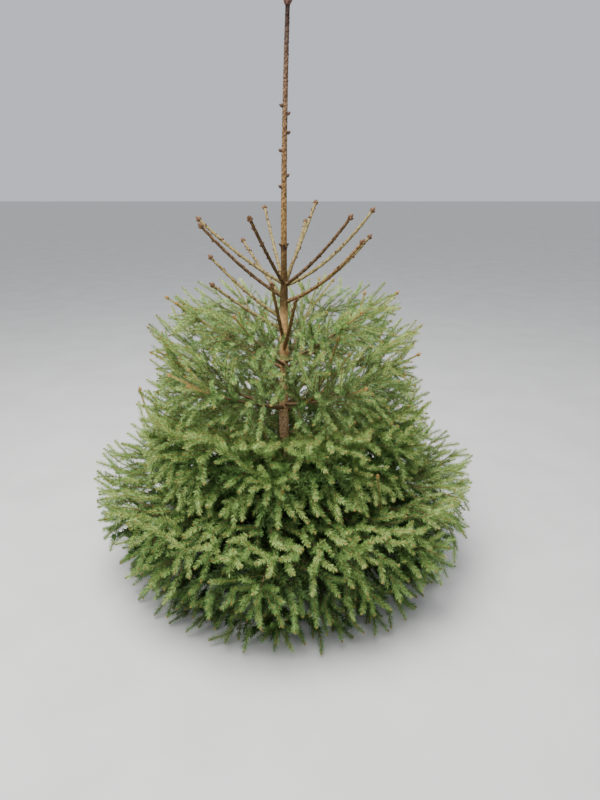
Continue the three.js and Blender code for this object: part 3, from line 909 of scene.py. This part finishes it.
def trunk_material():
    """Bark toned by height, with painted light low down, mottling all over, and slanting grooves of partly
    painted shade that are strongest on the leader.
    """
    material, nodes, links, shader = new_material("trunk_bark", 0.8, BARK_SHINE)
    coords = new_node(nodes, "TexCoord")
    split = new_node(nodes, "SeparateXYZ")
    links.new(coords.outputs["Object"], split.inputs["Vector"])
    waver = new_node(nodes, "Math")
    waver.operation = "MULTIPLY_ADD"
    links.new(noise(nodes, links, 34, 3), waver.inputs[0])
    waver.inputs[1].default_value = 0.06
    links.new(split.outputs["Z"], waver.inputs[2])
    share = new_node(nodes, "Math")
    share.operation = "DIVIDE"
    links.new(waver.outputs[0], share.inputs[0])
    share.inputs[1].default_value = HEIGHT * MM
    tone = ramp(nodes, links, share.outputs[0], TRUNK_TONES)
    fine = noise(nodes, links, 230, 6)
    mottle = ramp(nodes, links, fine, MOTTLE)
    twist = new_node(nodes, "Mapping", Rotation=(0, math.radians(TWIST_ANGLE), 0))
    links.new(coords.outputs["Object"], twist.inputs["Vector"])
    wave = new_node(nodes, "TexWave", Scale=TWIST_SCALE, Distortion=9, Detail=3, Detail_Scale=2.2)
    wave.bands_direction = "Z"
    links.new(twist.outputs["Vector"], wave.inputs["Vector"])
    # Painted shade in the grooves, partly the bark's own tone.
    grooves = ramp(nodes, links, wave.outputs["Fac"], GROOVES)
    strength = ramp(nodes, links, share.outputs[0], GROOVE_STRENGTH)
    tone = multiplied(nodes, links, multiplied(nodes, links, tone, mottle), grooves, strength)
    links.new(tone, shader.inputs["Base Color"])
    bump(nodes, links, fine, 0.6, 0.002, shader)
    return material


# Bark with relief.

def lattice(rows, columns, seed):
    """Smooth noise from -1 to 1, as a function of the share of the length and of the way round."""
    grid = np.random.default_rng(seed).uniform(-1, 1, (rows + 2, columns))

    def values(u, v):
        u, v = np.clip(u, 0, 1) * rows, np.mod(v, 1) * columns
        i, j = np.floor(u).astype(int), np.floor(v).astype(int)
        fu, fv = u - i, v - j
        fu, fv = fu * fu * (3 - 2 * fu), fv * fv * (3 - 2 * fv)
        j1 = (j + 1) % columns
        top = grid[i, j % columns] * (1 - fv) + grid[i, j1] * fv
        low = grid[i + 1, j % columns] * (1 - fv) + grid[i + 1, j1] * fv
        return top * (1 - fu) + low * fu

    return values


def trunk_mesh():
    """The trunk with its flare, plates of bark, the leader's low ridges and a swelling at each knot."""
    foot_rings = np.arange(0, FOOT_RINGS_TOP, FOOT_RING_STEP)
    heights = np.concatenate([foot_rings, np.arange(FOOT_RINGS_TOP, HEIGHT - BUD_HEIGHT + 8, RING_STEP)])
    angles = np.arange(TRUNK_SIDES) / TRUNK_SIDES
    z, a = np.meshgrid(heights, angles, indexing="ij")
    lobes = 1 + LOBE_DEPTH * np.exp(-z / FLARE_HEIGHT) * np.cos(FLARE_LOBES * 2 * np.pi * a)
    radius = trunk_radius(z) * lobes
    rough = np.clip(1.3 - z / 1500, 0.25, 1.2)
    plates = lattice(260, 11, 3)(z / HEIGHT, a) + 0.6 * lattice(560, 20, 4)(z / HEIGHT, a + z * 0.0004)
    radius = radius + rough * PLATE_DEPTH * plates
    row = z / RIDGE_ROW
    ridge = np.cos(2 * np.pi * (a * RIDGES_ROUND + row * 0.618)) * np.cos(2 * np.pi * row)
    depth = np.clip((z - 1000) / 300, 0, 1) * RIDGE_DEPTH
    radius = radius + depth * np.clip(ridge, 0, 1) * np.clip(trunk_radius(z) / 8, 0.5, 1)
    for knot in KNOTS:
        radius = radius + KNOT_DEPTH * np.exp(-(((z - knot) / KNOT_SPREAD) ** 2))
    centre = trunk_centre(heights)
    around = np.stack([np.cos(2 * np.pi * angles), np.sin(2 * np.pi * angles), 0 * angles], -1)
    rings = (centre[:, None] + around[None] * radius[..., None]).reshape(-1, 3)
    corners = np.vstack([rings, centre[0], centre[-1] + UP * 2])
    foot = cap(TRUNK_SIDES, 0, len(rings))[:, [1, 0, 2]]
    tip = cap(TRUNK_SIDES, len(rings) - TRUNK_SIDES, len(rings) + 1)
    return corners, np.vstack([ring_faces(len(heights), TRUNK_SIDES), foot, tip])


def shoot_mesh(points, seed):
    n = len(points)
    share, around = np.meshgrid(np.linspace(0, 1, n), np.arange(SHOOT_SIDES) / SHOOT_SIDES, indexing="ij")
    root, tip = SHOOT_ROOT_RADIUS + SHOOT_BARK, SHOOT_TIP_RADIUS + SHOOT_BARK
    relief = lattice(n, 7, seed)(share, around)
    return tube(points, root + (tip - root) * share + SHOOT_ROUGHNESS * relief, SHOOT_SIDES)


def shoot_points(azimuth, foot, run, rise, sag):
    share = np.linspace(0, 1, SHOOT_STATIONS)[:, None]
    bend = sag * run * (share * share - share)
    return trunk_centre(foot) + outward(azimuth) * run * share + UP * (rise * share + bend)


rng = np.random.default_rng(5)
FOLIAGE, BOUGHS, SHOOT_NODES = ([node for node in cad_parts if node.startswith(start)]
                                for start in ("foliage_", "bough_", "shoot_"))

make_piece("trunk_bark", *trunk_mesh(), trunk_material(), "trunk_bark", ["trunk"], smooth=True)

tip = trunk_centre(HEIGHT - BUD_HEIGHT)
tip_buds = bud_cluster(tip + UP * 2, UP, *END_BUD, 5, 1.0, rng, round_bud)
tip_buds += bud_cluster(tip - UP * 6, UP, *END_SIDE_BUD, 4, 1.5, rng, round_bud)
red_bud = bud_material("bud_red", (0.085, 0.038, 0.028), (0.21, 0.105, 0.08))
make_piece("leader_tip_buds", *joined(tip_buds), red_bud, "trunk_bark", ["trunk"], smooth=True)
leader_buds = []
for z, azimuth in LEADER_BUDS:
    side = outward(azimuth)
    at = trunk_centre(z) + side * (trunk_radius(z) + 3)
    leader_buds.append(round_bud(at, unit(side + UP * 0.6), *LEADER_BUD))
for i in range(BUD_RING_COUNT * 2):
    z = BUD_RING_HEIGHT + rng.uniform(-7, 7)
    side = outward(180 * i / BUD_RING_COUNT)
    at = trunk_centre(z) + side * (trunk_radius(z) + 1)
    leader_buds.append(round_bud(at, unit(side + UP * 0.8), *RING_BUD))
leader_line = trunk_centre(np.linspace(LEADER_BASE - 60, HEIGHT - BUD_HEIGHT, 60))
leader_buds += pegs(leader_line, (LEADER_FOOT_RADIUS, LEADER_TIP_RADIUS), LEADER_PEGS, rng)
dark_bud = bud_material("bud_brown", (0.026, 0.015, 0.010), (0.10, 0.055, 0.032))
make_piece("leader_buds", *joined(leader_buds), dark_bud, "trunk_bark", ["trunk"], smooth=False)

SHOOT_TINTS = {
    "pale": ((0.09, 0.062, 0.024), (0.21, 0.163, 0.068), (0.34, 0.28, 0.13)),
    "olive": ((0.09, 0.07, 0.028), (0.21, 0.165, 0.065), (0.34, 0.27, 0.12)),
    "brown": ((0.08, 0.045, 0.02), (0.19, 0.115, 0.045), (0.31, 0.20, 0.09)),
    "dark": ((0.045, 0.026, 0.014), (0.11, 0.066, 0.034), (0.21, 0.135, 0.065)),
}
shoot_buds = []
by_tint = {tint: [] for tint in SHOOT_TINTS}
for number, (azimuth, foot, run, rise, sag, tint) in enumerate(BARE_SHOOTS):
    points = shoot_points(azimuth, foot, run, rise, sag)
    by_tint[tint].append((number, shoot_mesh(points[:-2], number)))
    ahead = unit(points[-1] - points[-3])
    shoot_buds += bud_cluster(points[-4], ahead, *SHOOT_END_BUD, 5, 1.0, rng, round_bud)
    shoot_buds += pegs(points[:-4], (SHOOT_ROOT_RADIUS, SHOOT_TIP_RADIUS), SHOOT_PEGS, rng)
    for share in np.sort(rng.uniform(0.12, 0.93, SHOOT_KNOBS)):
        place = int(share * (SHOOT_STATIONS - 1))
        ahead = unit(points[place + 1] - points[place])
        side = square_to(ahead, rng.uniform(0, 2 * np.pi))
        aim = unit(side + ahead * 0.9)
        shoot_buds.append(round_bud(points[place] + side * 5, aim, rng.uniform(9, 13), rng.uniform(3.2, 4.3)))
for tint, limbs in by_tint.items():
    nodes_here = [f"shoot_{number + 1}" for number, _ in limbs]
    shapes = joined([limb for _, limb in limbs])
    bark = bark_material(f"shoot_{tint}", *SHOOT_TINTS[tint], 130)
    make_piece(f"bare_shoots_{tint}", *shapes, bark, "shoot_bark", nodes_here, smooth=True)
shoot_bud = bud_material("bud_tan", (0.05, 0.026, 0.014), (0.22, 0.115, 0.05))
make_piece("shoot_buds", *joined(shoot_buds), shoot_bud, "shoot_bark", SHOOT_NODES)

limbs = []
for index, whorl in enumerate(WHORLS):
    for place, azimuth in enumerate(limb_azimuths(index)):
        share = np.linspace(0.02, 0.99, BOUGH_STATIONS)
        points = limb_path(whorl, azimuth, place)(share)
        radii = STEM_TIP_RADIUS * 0.6 + (whorl["radius"] - STEM_TIP_RADIUS * 0.6) * (1 - share) ** 1.3
        around = np.arange(BOUGH_SIDES) / BOUGH_SIDES
        relief = lattice(40, 6, 40 + index * 7 + place)(*np.meshgrid(share, around, indexing="ij"))
        limbs.append(tube(points, radii[:, None] * (1 + 0.08 * relief), BOUGH_SIDES))
bough_bark = bark_material("bough_bark", (0.09, 0.052, 0.028), (0.20, 0.12, 0.065), (0.33, 0.21, 0.115))
make_piece("bough_bark", *joined(limbs), bough_bark, "bough_bark", BOUGHS, smooth=True)


def is_inner(shoot):
    """Whether a shoot stands deep inside the dense part of the crown."""
    return shoot["zone"] < FIRST_OPEN and depth_in_crown(shoot["points"].mean(0)) > INNER_DEPTH


TWIG_TINTS = {
    "young": ((0.13, 0.075, 0.025), (0.29, 0.175, 0.058), (0.44, 0.30, 0.11), 300),
    "old": ((0.08, 0.05, 0.025), (0.17, 0.10, 0.05), (0.28, 0.18, 0.09), 420),
}
twigs, buds = {age: [] for age in TWIG_TINTS}, []
for shoot in SHOOTS:
    points = shoot["points"][::4 if is_inner(shoot) else 2]
    radii = np.linspace(*shoot["radii"], len(points))
    twigs["young" if shoot["age"] == 0 else "old"].append(tube(points, radii, 3))
    if shoot["age"] > 0 or is_inner(shoot):
        continue
    ahead = unit(points[-1] - points[-2])
    if shoot["stubble"]:
        buds += bud_cluster(points[-1], ahead, *BARE_TIP_BUD, 4, 0.9, rng, round_bud)
    elif shoot["radii"][0] > 1.4:
        buds += bud_cluster(points[-1] + ahead * 3, ahead, *STOUT_TWIG_BUD, 3, 0.9, rng)
    else:
        buds.append(bud(points[-1] + ahead * 4, ahead, *TWIG_BUD))
for age, tubes in twigs.items():
    bark = bark_material(f"{age}_twig_bark", *TWIG_TINTS[age], 0.3)
    make_piece(f"{age}_twigs", *joined(tubes), bark, "needles", FOLIAGE)
light_bud = bud_material("bud_orange", (0.17, 0.096, 0.026), (0.44, 0.29, 0.085))
make_piece("twig_buds", *joined(buds), light_bud, "needles", FOLIAGE)


def needles_per_mm(shoot):
    if is_inner(shoot):
        return NEEDLES_PER_MM * INNER_DENSITY
    age_share = 1 if shoot["age"] == 0 else OLD_DENSITY
    zone_share = OPEN_DENSITY if shoot["zone"] >= FIRST_OPEN else 1
    return NEEDLES_PER_MM * shoot["density"] * age_share * zone_share


def needle_axes(shoot, rng):
    """A shoot's needles: root, direction, way across, share of its length, and nearness to its tip."""
    points = shoot["points"]
    along = np.concatenate([[0], np.cumsum(np.linalg.norm(np.diff(points, axis=0), axis=1))])
    length = along[-1]
    first = 0.06 * length
    count = int((length - first) * needles_per_mm(shoot)) + LEAST_NEEDLES
    at = np.clip(np.linspace(first, length, count) + rng.uniform(-0.4, 0.4, count), 0, length)
    share = at / length
    places = np.stack([np.interp(at, along, points[:, k]) for k in range(3)], -1)
    tangents = unit(np.gradient(points, axis=0))
    ahead = unit(np.stack([np.interp(at, along, tangents[:, k]) for k in range(3)], -1))
    level, lift = cross_axes(ahead)
    angle = np.radians(GOLDEN_ANGLE) * np.arange(count) + rng.uniform(-0.35, 0.35, count)
    radial = level * np.cos(angle)[:, None] + lift * np.sin(angle)[:, None]
    near_tip = np.clip((at - (length - BRUSH_END)) / BRUSH_END, 0, 1)
    lean = np.radians(NEEDLE_LEAN - 12 * share ** 2 + rng.normal(0, 6, count)) * (1 - 0.6 * near_tip)
    direction = ahead * np.cos(lean)[:, None] + radial * np.sin(lean)[:, None]
    direction = unit(direction + UP * rng.uniform(0, 0.16, count)[:, None])
    side = unit(np.cross(direction, radial) + 1e-6)
    roll = rng.uniform(0, np.pi, count)[:, None]
    across = side * np.cos(roll) + np.cross(side, direction) * np.sin(roll)
    radius = np.interp(share, [0, 1], shoot["radii"])
    return places + radial * radius[:, None] * 0.7, direction, across, share, near_tip


def needles_of(shoot, rng):
    """The four corners of each needle, from its wide root to its narrow tip, and its share of the way."""
    base, direction, across, share, near_tip = needle_axes(shoot, rng)
    count = len(share)
    shortening = STUBBLE_LENGTH if shoot["stubble"] else OPEN_LENGTH if shoot["zone"] >= FIRST_OPEN else 1
    size = NEEDLE_LENGTH * shortening * rng.uniform(0.85, 1.1, count) * (1 - 0.25 * near_tip)
    width = NEEDLE_WIDTH * rng.uniform(0.85, 1.15, count)
    half = across * (width / 2)[:, None]
    tip = base + direction * size[:, None]
    fold = np.cross(across, direction) * (width * 0.3)[:, None]
    corners = np.stack([base + half, base - half - fold, tip - half * NEEDLE_TIP_SHARE,
                        tip + half * NEEDLE_TIP_SHARE], 1)
    return corners, share


def inner_needles_of(shoot, rng):
    """The broad needles of a shoot inside the crown, dark with painted shade: the three corners of each."""
    base, direction, across, share, _ = needle_axes(shoot, rng)
    half = across * (INNER_WIDTH * rng.uniform(0.35, 0.65, len(share)))[:, None]
    tip = base + direction * (INNER_LENGTH * rng.uniform(0.8, 1.1, len(share)))[:, None]
    return np.stack([base + half, base - half, tip], 1)


# Tints from the darkest to the lightest, each with the most light that its needles have: lit and shaded
# copies of the needle colour.
DENSE_TINTS = [("deep", 0.20), ("mid", 0.50), ("bright", 0.80), ("fresh", 9)]
OPEN_TINTS = [("deep", 0.15), ("mid", 0.33), ("blue", 0.61), ("bright", 0.83), ("fresh", 9)]


def tints_of(shoot, corners, share, rng):
    """The name of each needle's tint, from a lightness that holds painted shade and light."""
    is_open = shoot["zone"] >= FIRST_OPEN
    # Painted light at the crown's surface and painted shade deeper in it.
    depth = np.clip(depth_in_crown(corners[:, 0], not is_open) / SHELL, 0, 1.3)
    light = LIGHT_AT_TIP * share + LIGHT_AT_SURFACE * (1 - depth) + LIGHT_BASE
    light += rng.normal(0, OPEN_SPREAD if is_open else SHOOT_SPREAD)
    light += rng.normal(0, NEEDLE_SPREAD, len(share))
    light -= OLD_SHADE if shoot["age"] > 0 else 0
    z = corners[:, 0, 2]
    # Painted shade near the ground and painted light higher up.
    light -= LOW_SHADE * np.clip(1 - z / LOW_SHADE_HEIGHT, 0, 1)
    light += HIGH_LIGHT * np.clip((z - LOW_SHADE_HEIGHT) / HIGH_LIGHT_REACH, 0, 1)
    names, limits = zip(*(OPEN_TINTS if is_open else DENSE_TINTS))
    return np.array(names)[np.searchsorted(limits, light)]


# Lighter and darker copies of the needle colour: the darkest holds painted shade inside the crown and near
# the ground, the lightest painted light at its surface, besides the needles' own tone.
NEEDLE_TINTS = {
    "deep": ((0.036, 0.082, 0.021), (0.080, 0.155, 0.039)),
    "mid": ((0.075, 0.162, 0.041), (0.154, 0.292, 0.074)),
    "bright": ((0.160, 0.278, 0.068), (0.270, 0.435, 0.120)),
    "fresh": ((0.29, 0.42, 0.108), (0.46, 0.60, 0.20)),
    "blue": ((0.155, 0.288, 0.086), (0.315, 0.500, 0.168)),
}
# Painted shade: the inner needles' colours, darker still near the ground.
INNER_TINTS = {
    "low": ((0.036, 0.074, 0.019), (0.080, 0.145, 0.036)),
    "high": ((0.074, 0.148, 0.040), (0.158, 0.270, 0.074)),
}
by_needle_tint = {tint: [] for tint in NEEDLE_TINTS}
inner_needles = []
rng = np.random.default_rng(11)
for shoot in SHOOTS:
    if is_inner(shoot):
        inner_needles.append(inner_needles_of(shoot, rng))
        continue
    corners, share = needles_of(shoot, rng)
    names = tints_of(shoot, corners, share, rng)
    for tint in NEEDLE_TINTS:
        by_needle_tint[tint].append(corners[names == tint])
for tint, batches in by_needle_tint.items():
    needles = np.concatenate(batches)
    material = needle_material(f"needles_{tint}", *NEEDLE_TINTS[tint])
    pieces = -(-len(needles) // MOST_NEEDLES)
    for number, part in enumerate(np.array_split(needles, pieces)):
        start = 4 * np.arange(len(part))[:, None]
        faces = np.concatenate([start + [0, 1, 2], start + [0, 2, 3]])
        make_piece(f"needles_{tint}_{number + 1}", part.reshape(-1, 3), faces, material, "needles", FOLIAGE)
inner = np.concatenate(inner_needles)
# Inner needles below LOW_SHADE_HEIGHT take the darker colour: painted shade near the ground.
is_low = inner[:, 0, 2] < LOW_SHADE_HEIGHT
for name, part in (("low", inner[is_low]), ("high", inner[~is_low])):
    material = needle_material(f"needles_inner_{name}", *INNER_TINTS[name])
    faces = np.arange(3 * len(part)).reshape(-1, 3)
    make_piece(f"needles_inner_{name}", part.reshape(-1, 3), faces, material, "needles", FOLIAGE)

# The camera stands where the photographer stood.
CAMERA_HEIGHT = 1.5
CAMERA_BACK = 2.27
CAMERA_RIGHT = 0.06
CAMERA_PITCH = 19.7
LENS = 27

camera = add_object("camera", bpy.data.cameras.new("camera"))
camera.location = (CAMERA_RIGHT, -CAMERA_BACK, CAMERA_HEIGHT)
camera.rotation_euler = (math.radians(90 - CAMERA_PITCH), 0, 0)
camera.data.lens = LENS
camera.data.sensor_width = 36
camera.data.clip_end = 200
bpy.context.scene.camera = camera

floor_mesh = bpy.data.meshes.new("floor")
floor_mesh.from_pydata([(-60, -60, 0), (60, -60, 0), (60, 60, 0), (-60, 60, 0)], [], [(0, 1, 2, 3)])
floor_mesh.materials.append(toned_material("floor", 3, 4, FLOOR_TONES, 0.9, 0.5))
floor = add_object("floor", floor_mesh)

world = bpy.data.worlds.new("overcast")
world.use_nodes = True
world.node_tree.nodes["Background"].inputs["Color"].default_value = (0.80, 0.84, 0.90, 1)
world.node_tree.nodes["Background"].inputs["Strength"].default_value = 0.8
bpy.context.scene.world = world


def area_light(name, location, target, size, power):
    data = bpy.data.lights.new(name, "AREA")
    data.shape = "DISK"
    data.size = size
    data.energy = power
    light = add_object(name, data)
    light.location = location
    light.rotation_euler = (Vector(target) - Vector(location)).to_track_quat("-Z", "Y").to_euler()


area_light("sky_above", (-0.5, -0.9, 4.6), (0, 0, 0.6), 3.0, 400)
area_light("sky_left", (-3.4, -2.2, 2.6), (0, 0, 0.8), 2.6, 45)
